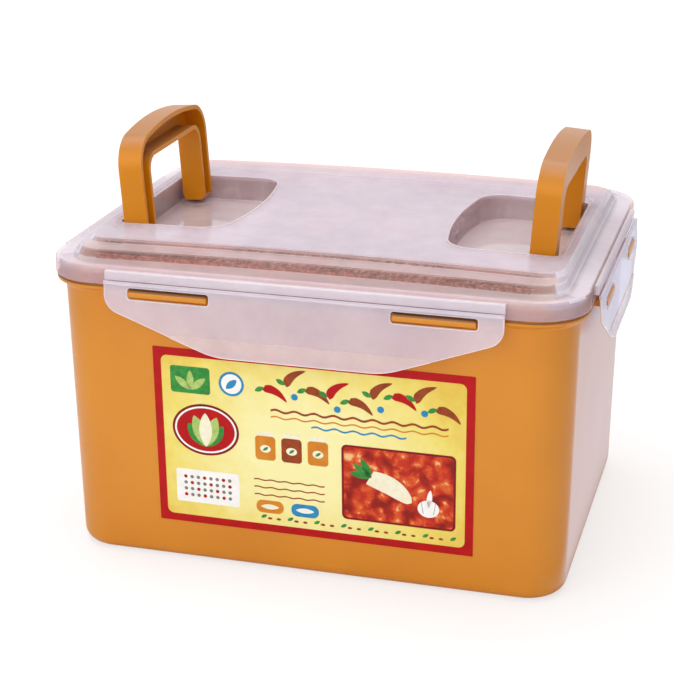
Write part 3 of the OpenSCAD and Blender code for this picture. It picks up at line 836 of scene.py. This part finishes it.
def latchMesh(length, foot, footRound, slotLength, slotGap, slotDrop):
    s = latchSize
    e, f, low = length / 2, foot / 2, -s["height"]
    outline = roundedOutline([(-e, 0, 0), (e, 0, 0), (e, -s["endHeight"], s["endRound"]),
                              (f, low, footRound), (-f, low, footRound),
                              (-e, -s["endHeight"], s["endRound"])], 14)
    holes = []
    for side in (-1, 1):
        x, y = side * (slotGap + slotLength) / 2, -slotDrop - s["slotHeight"] / 2
        ring = roundedRing(slotLength / 2, s["slotHeight"] / 2, s["slotCorner"], 6)
        holes.append([(x + px, y + py) for px, py in ring])
    sheet = plate("latch", [outline] + holes, s["thickness"], s["edge"], 4)
    # finger strip: the same lower edge, a little inside it, closed by a straight upper edge
    upper = low + s["tabHeight"]
    reach = f + s["tabHeight"] * (e - f) / (s["height"] - s["endHeight"])
    strip = roundedOutline([(-reach, upper, 1), (-f, low + s["tabInside"], footRound),
                            (f, low + s["tabInside"], footRound), (reach, upper, 1)], 14)
    tabThickness = s["thickness"] / 2 + s["tabRise"]
    tab = placed(plate("tab", [strip], tabThickness, s["tabRise"], 3),
                 Matrix.Translation((0, 0, tabThickness / 2)))
    flat = cut(sheet, tab, "UNION")
    for polygon in flat.polygons:
        raised = polygon.center.z > s["thickness"] / 2 + 0.02
        plain = abs(polygon.normal.z) > 0.985 or (raised and polygon.center.y > upper - 1.2)
        zone = ("tab" if raised else "latch") if plain else "rim"
        polygon.material_index = latchZones.index(zone)
    placed(flat, turnedTo(90, "X"))
    roll = withMaterial(rod(s["hingeRadius"], length, (1, 0, 0), (0, 0, 0), 24), 0)
    return placed(joined("latch", [flat, roll]), turnedTo(-s["leanDegrees"], "X"))


def makeLatches():
    s = latchSize
    for node, turn, half, sizes in (("front_latch", 0, "skirtHalfY", "long"),
                                    ("back_latch", 180, "skirtHalfY", "long"),
                                    ("right_latch", 90, "skirtHalfX", "side"),
                                    ("left_latch", -90, "skirtHalfX", "side")):
        hinge = Matrix.Translation((0, -lidSize[half] - s["hingeOut"], s["hingeZ"]))
        finishMesh(node + "_moulded", placed(latchMesh(*s[sizes]), turnedTo(turn) @ hinge), node,
                   [frosted[zone] for zone in latchZones], node)


makeLatches()
print("latches made")


# Handles

def archOutline(shrink, low):
    # outer outline of the handle, standing, in Y and Z from its pivot
    h = handleSize
    slope = radians(h["slope"])
    hy = h["halfWidth"] - shrink
    tip = h["height"] - shrink + h["gripRadius"] * (1 / cos(slope) - 1)
    shoulder = tip - hy * tan(slope)
    r = h["shoulder"] - shrink
    return roundedOutline([(-hy, low, 0), (hy, low, 0), (hy, shoulder, r), (0, tip, h["gripRadius"]),
                           (-hy, shoulder, r)], 20)


def windowOutline(grow):
    h = handleSize
    hy, top = h["halfWidth"] - h["legWidth"] + grow, h["height"] - h["gripHeight"] + grow
    r, low = h["window"] + grow, -20
    return roundedOutline([(-hy, low, 0), (hy, low, 0), (hy, top, r), (-hy, top, r)], 10)


def makeHandle(node, side):
    h = handleSize
    half, end, endRound, wall = h["thickness"] / 2, h["legEnd"], h["legEndRound"], h["wall"]
    mesh = acrossX("arch", archOutline(0, -end), -half, half)
    section = roundedOutline([(-half, -end, endRound), (half, -end, endRound),
                              (half, 90, 0), (-half, 90, 0)], 12)
    mesh = cut(mesh, placed(prism("section", section, -80, 80), turnedTo(90, "X")), "INTERSECT")
    mesh = cut(mesh, acrossX("window", windowOutline(0), -20, 20))
    # open pocket that leaves a channel with walls of one thickness
    pocket = acrossX("pocket", archOutline(wall, wall - end), -half + wall, 20)
    mesh = cut(mesh, cut(pocket, acrossX("keep", windowOutline(wall), -30, 40)))
    mesh = rounded(mesh, h["roundEdge"], 3, 28)
    inside = 1.5  # length of each pin that is sunk in its leg
    pins = [rod(h["pinRadius"], h["pinLength"] + inside, (0, 1, 0),
                (0, leg * (h["halfWidth"] + (h["pinLength"] - inside) / 2), 0)) for leg in (-1, 1)]
    mesh = placed(joined(node, [mesh] + pins), Matrix.Scale(-side, 4, (1, 0, 0)))
    placed(mesh, Matrix.Translation((side * h["pivotX"], 0, h["pivotZ"]))
           @ turnedTo(side * h["leanDegrees"], "Y"))
    finishMesh(node + "_moulded", mesh, node, [handlePlastic], node, 35)


makeHandle("left_handle", -1)
makeHandle("right_handle", 1)
print("handles made")


# Label: a plain printed design of vegetables, jars and coloured fields on yellow film

labelSize = {
    "length": 204.0,
    "height": 119.5,
    "shift": 4.0,
    "low": 27.5,
    "thickness": 0.3,
    "border": 5.2,
    "corner": 4.0,
    "glueGap": 0.03,
    "layerStep": 0.018,
}
# light tone, deep tone, size of the mottling
inks = {
    "red": ("#be060d", "#b0050b", 9),
    "darkRed": ("#8d1016", "#7a0b12", 6),
    "brown": ("#a2481f", "#8a3a18", 4),
    "orange": ("#dd8f2c", "#d27f22", 6),
    "blue": ("#2f93c4", "#2482b6", 5),
    "green": ("#3f9a44", "#2f8238", 3),
    "leafPale": ("#b9d27a", "#9fc062", 3),
    "cream": ("#fbf6df", "#f2ebc8", 4),
    "white": ("#fdfdfb", "#f6f5f0", 6),
    "grey": ("#8b8a86", "#787672", 3),
}
yellowStops = ((0.12, "#d9a83c"), (0.34, "#e8c552"), (0.62, "#f2df74"), (1.0, "#fbf3b0"))
pickleStops = ((0.08, "#f0c48a"), (0.22, "#e2672c"), (0.42, "#c8341c"), (0.66, "#8c1a12"))
varnish = {"Roughness": 0.28, "IOR": 1.5, "Specular IOR Level": 0.2}


def varnished(material, colour):
    # ink under a smooth varnish
    shader = addNode(material.node_tree, "BsdfPrincipled", varnish, {"Base Color": colour})
    addNode(material.node_tree, "OutputMaterial", links={"Surface": shader})
    return material


def printedFilm(name, light, deep, blobMm):
    # ink on glossy film: slight mottling of the ink
    material, tree, place = newMaterial(name)
    mottle = addNode(tree, "TexNoise", blobs(blobMm, 3.0, 0.6), {"Vector": place})
    colour = addNode(tree, "ValToRGB", {"stops": ((0.35, deep), (0.65, light))}, {"Fac": mottle})
    return varnished(material, colour)


def yellowInk():
    # yellow ground printed with a pale glow in the middle, golden sides and faint grain
    material, tree, place = newMaterial("filmPrintedYellowGlow")
    spread = addNode(tree, "Mapping", {"Location": (0.02, 0, -0.78), "Scale": (7.5, 0, 9.5)},
                     {"Vector": place})
    glow = addNode(tree, "TexGradient", {"gradient_type": "SPHERICAL"}, {"Vector": spread})
    grain = addNode(tree, "TexNoise", blobs(16, 5.0, 0.65), {"Vector": place})
    level = addNode(tree, "Math", {"operation": "MULTIPLY_ADD", 1: 0.55}, {0: grain, 2: (glow, "Fac")})
    colour = addNode(tree, "ValToRGB", {"stops": yellowStops}, {"Fac": level})
    return varnished(material, colour)


def pickleInk():
    # picture-like field of seasoned leaves: veined red and orange cells with pale ribs
    material, tree, place = newMaterial("filmPrintedPickleField")
    warp = addNode(tree, "TexNoise", {**blobs(9, 3.0, 0.6), "Distortion": 0.6}, {"Vector": place})
    moved = addNode(tree, "MixRGB", {"blend_type": "LINEAR_LIGHT", 0: 0.006},
                    {1: place, 2: (warp, "Color")})
    cells = addNode(tree, "TexVoronoi", {"Scale": 150, "feature": "SMOOTH_F1"}, {"Vector": moved})
    colour = addNode(tree, "ValToRGB", {"stops": pickleStops}, {"Fac": cells})
    return varnished(material, colour)


def turned(outline, x, y, degrees=0):
    c, n = cos(radians(degrees)), sin(radians(degrees))
    return [(x + c * px - n * py, y + n * px + c * py) for px, py in outline]


def tapered(length, widthAt, bend=0, steps=16):
    # body along X whose half width is widthAt(share of the length), bent by bend
    middle = [(length * k / steps, bend * sin(pi * k / steps)) for k in range(steps + 1)]
    upper = [(x, y + widthAt(k / steps)) for k, (x, y) in enumerate(middle)]
    lower = [(x, y - widthAt(k / steps)) for k, (x, y) in enumerate(middle)]
    return lower + upper[::-1][1:-1] if widthAt(0) <= 0 else lower + upper[::-1]


def leaf(length, width):
    return tapered(length, lambda t: width / 2 * sin(pi * t) ** 0.75 if 0 < t < 1 else 0)


def pepper(length, width, bend):
    return tapered(length, lambda t: (width / 2 * (1 - t) ** 0.6 * min(1, 0.55 + 3 * t)
                                      if t < 1 else 0.05), bend)


def radish(length, width, bend):
    return tapered(length, lambda t: (width * sqrt(max(1 - (2.1 * t - 0.75) ** 2 / 1.85, 0))
                                      if t < 1 else 0.1), bend)


def waveBand(length, height, swing, waves, steps=60):
    line = [(length * k / steps, swing * sin(2 * pi * waves * k / steps))
            for k in range(steps + 1)]
    return [(x, y - height / 2) for x, y in line] + [(x, y + height / 2) for x, y in reversed(line)]


def patch(hx, hy, r):
    return roundedRing(hx, hy, r, 8)


def labelShapes():
    # (ink, layer, outline) with places from the label's lower left corner; shapes that overlap lie
    # on different layers
    shapes = []

    def put(ink, layer, outline, x, y, degrees=0):
        shapes.append((ink, layer, turned(outline, x, y, degrees)))

    # garland of peppers and leaves along the top right
    for k in range(9):
        x = 72 + k * 13.6
        y = 99 + 3.2 * sin(k * 1.3)
        put("brown" if k % 3 else "red", 3, pepper(17, 6.8, 2.0), x, y, 38 if k % 2 else -30)
        put("green", 4, leaf(6.5, 3.2), x, y, 150 if k % 2 else 205)
        if k % 2:
            put("blue", 5, oval(2.2, 2.2, 20), x + 6, y - 7.5)
    # ribbons under the garland
    put("brown", 3, waveBand(112, 1.5, 0.9, 9), 76, 84)
    put("orange", 3, waveBand(112, 1.0, 0.7, 9), 76, 79.6)
    put("blue", 3, waveBand(60, 1.2, 0.8, 5), 102, 75.2)
    # row of small seeds and leaves along the lower edge
    for k in range(22):
        put("brown" if k % 3 else "green", 3, oval(1.5, 0.8, 16) if k % 3 else leaf(4.4, 2.2),
            68 + 5.8 * k, 9.4, 0 if k % 3 else 30)
    # green leaf patch and blue dot at the left
    put("green", 3, patch(13, 9, 2), 24, 99)
    for turn in (40, 90, 140):
        put("leafPale", 4, leaf(13, 4.6), 24, 92.5, turn)
    put("blue", 3, oval(8.2, 8.2), 51, 99)
    put("white", 4, oval(6.6, 6.6), 51, 99)
    put("blue", 5, leaf(9.5, 4.4), 47.4, 95.6, 42)
    # cabbage in a dark red badge
    for ink, layer, a, b in (("darkRed", 3, 22, 17.5), ("white", 4, 20.4, 15.9), ("red", 5, 19.2, 14.7)):
        put(ink, layer, oval(a, b, 56), 33, 66)
    for turn, long, wide, ink, layer in ((128, 19, 9, "green", 6), (52, 19, 9, "green", 6),
                                         (110, 22, 9, "leafPale", 7), (70, 22, 9, "leafPale", 7),
                                         (90, 23, 8.5, "cream", 8)):
        put(ink, layer, leaf(long, wide), 33, 54.5, turn)
    # row of jars in the middle
    for k, ink in enumerate(("orange", "brown", "orange")):
        x = 72 + k * 17
        put(ink, 3, patch(6.6, 8.2, 2.4), x, 58)
        put("cream", 4, patch(5.4, 1.5, 0.7), x, 67.8)
        put("cream", 4, oval(3.5, 2.6, 28), x, 57.5)
        put("green", 5, leaf(4.4, 1.8), x - 1.6, 56.2, 38)
    # seasoned field with a radish and garlic on it, at the right
    put("darkRed", 3, patch(36, 25.5, 3.5), 157, 41)
    put("pickle", 4, patch(34.6, 24.1, 2.6), 157, 41)
    put("cream", 5, radish(30, 6.2, 2.2), 139, 46, -28)
    for turn in (118, 145, 172):
        put("green", 5, leaf(14, 4.6), 140, 46, turn)
    put("white", 5, oval(6.8, 5.8, 32), 176, 29)
    put("white", 5, leaf(12, 3.4), 176, 30, 84)
    for shift in (-3.2, 3.2):
        put("grey", 6, tapered(8.4, lambda t: 0.16, 0), 176 + shift, 25.5, 90 - 3 * shift)
    # white patch of plain dots at the lower left, lines and two beads beside it
    put("white", 3, patch(21, 11.5, 1.6), 33, 26)
    for row in range(4):
        for column in range(8):
            put("grey" if (row + column) % 3 else "red", 4, oval(1.2, 1.2, 14),
                18.3 + 4.2 * column, 19.7 + 4.2 * row)
    for k in range(3):
        put("brown", 3, waveBand(46, 0.9, 0.35, 5), 64, 36 - 5.2 * k)
    for ink, middle, x in (("orange", "cream", 74), ("blue", "white", 97)):
        put(ink, 3, patch(9, 4.4, 4), x, 17.5)
        put(middle, 4, leaf(12, 3.6), x - 6, 17.5)
    return shapes


def makeLabel():
    s = labelSize
    hx, hy = s["length"] / 2, s["height"] / 2
    names = ["red", "yellow", "pickle"] + [name for name in inks if name != "red"]
    ground = turned(patch(hx - s["border"], hy - s["border"], s["corner"]), hx, hy)
    work = bmesh.new()
    work.from_mesh(prism("labelBase", turned(patch(hx, hy, 0.6), hx, hy), 0, s["thickness"]))
    for ink, layer, outline in [("yellow", 1, ground)] + labelShapes():
        z = s["thickness"] + layer * s["layerStep"]
        face = work.faces.new([work.verts.new((x, y, z)) for x, y in outline])
        face.normal_update()
        if face.normal.z < 0:
            face.normal_flip()
        face.material_index = names.index(ink)
    mesh = bpy.data.meshes.new("label")
    work.to_mesh(mesh)
    work.free()
    tilt = atan((tubSize["topHalfY"] - tubSize["baseHalfY"]) / tubSize["height"])
    front = Matrix.Translation((s["shift"] - hx, -drafted("HalfY", s["low"]) - s["glueGap"], s["low"]))
    placed(mesh, front @ Matrix.Rotation(radians(90) + tilt, 4, "X"))
    special = {"yellow": yellowInk, "pickle": pickleInk}
    films = [special[name]() if name in special
             else printedFilm("filmPrinted" + name[0].upper() + name[1:], *inks[name]) for name in names]
    finishMesh("labelPrinted", mesh, "keeper", films, "front_label", 32, weighted=False)


makeLabel()
print("label made")


# Stage: pale floor, white surroundings and soft lamps

stageSettings = {
    "floor": "#f4f3f4",
    "floorHalf": 4000,
    "floorDrop": 0.3,
    "floorGlow": 0.6,
    "floorGlowStrength": 1.12,
    "floorFadeMm": (260, 620),
    "world": 0.36,
    "card": ((164, -150, 1), (340, 400, 1), (340, 900, 1), (164, 900, 1)),
    "cardStrength": 1.83,
    "cardTint": "#d4e8ff",
    # name, place, size, power
    "lamps": (("keyPanel", (-330, -1150, 780), 1100, 5.8),
              ("fillPanel", (560, -1150, 480), 900, 2.0),
              ("topPanel", (-100, 150, 1300), 1300, 16.0)),
    "lampAim": (0, 0, 100),
}


def paperBackdrop(settings):
    # matt paper; to the camera it keeps the shadow near the keeper and turns plain white away
    material, tree, place = newMaterial("paperBackdropMatt")
    paper = addNode(tree, "BsdfDiffuse", {"Color": settings["floor"]})
    white = addNode(tree, "Emission", {"Color": "#ffffff", "Strength": settings["floorGlowStrength"]})
    distance = addNode(tree, "VectorMath", {"operation": "LENGTH"}, {0: place})
    fade = addNode(tree, "MapRange", span(settings["floorFadeMm"], (settings["floorGlow"], 1), mm),
                   {"Value": (distance, "Value")})
    path = addNode(tree, "LightPath")
    share = addNode(tree, "Math", {"operation": "MULTIPLY"}, {0: fade, 1: (path, "Is Camera Ray")})
    mixed = addNode(tree, "MixShader", links={0: share, 1: paper, 2: white})
    addNode(tree, "OutputMaterial", links={"Surface": mixed})
    return material


def reflectorCard(settings):
    # white card that only reflections see
    material, tree = newMaterial("cardWhiteReflector")[:2]
    nothing = addNode(tree, "BsdfTransparent")
    glow = addNode(tree, "Emission", {"Color": settings["cardTint"], "Strength": settings["cardStrength"]})
    path = addNode(tree, "LightPath")
    mixed = addNode(tree, "MixShader", links={0: (path, "Is Glossy Ray"), 1: nothing, 2: glow})
    addNode(tree, "OutputMaterial", links={"Surface": mixed})
    return material


def makeWorld(strength):
    # plain white to the camera and in reflections, and a weaker light everywhere else
    world = bpy.data.worlds.new("studioWhite")
    world.use_nodes = True
    tree = world.node_tree
    tree.nodes.clear()
    path = addNode(tree, "LightPath")
    plain = addNode(tree, "Math", {"operation": "MAXIMUM"},
                    {0: (path, "Is Camera Ray"), 1: (path, "Is Glossy Ray")})
    power = addNode(tree, "MapRange", span((0, 1), (strength, 1)), {"Value": plain})
    sky = addNode(tree, "Background", {"Color": "#ffffff"}, {"Strength": power})
    addNode(tree, "OutputWorld", links={"Surface": sky})
    bpy.context.scene.world = world


def makeStage(settings):
    half, drop = settings["floorHalf"], -settings["floorDrop"]
    ground = [(x, y, drop) for x, y in ((-half, -half), (half, -half), (half, half), (-half, half))]
    for name, points, material in (("floor", ground, paperBackdrop(settings)),
                                   ("card", settings["card"], reflectorCard(settings))):
        mesh = meshFrom(name, points, [(0, 1, 2, 3)])
        finishMesh(name, mesh, None, [material], weighted=False)
    makeWorld(settings["world"])
    for name, place, size, power in settings["lamps"]:
        data = bpy.data.lights.new(name, "AREA")
        data.shape = "SQUARE"
        data.size = size * mm
        data.energy = power
        lamp = addObject(name, data)
        aim = Vector(settings["lampAim"]) - Vector(place)
        lamp.matrix_world = (Matrix.Translation(Vector(place) * mm)
                             @ aim.to_track_quat("-Z", "Y").to_matrix().to_4x4())


makeStage(stageSettings)
print("stage made")
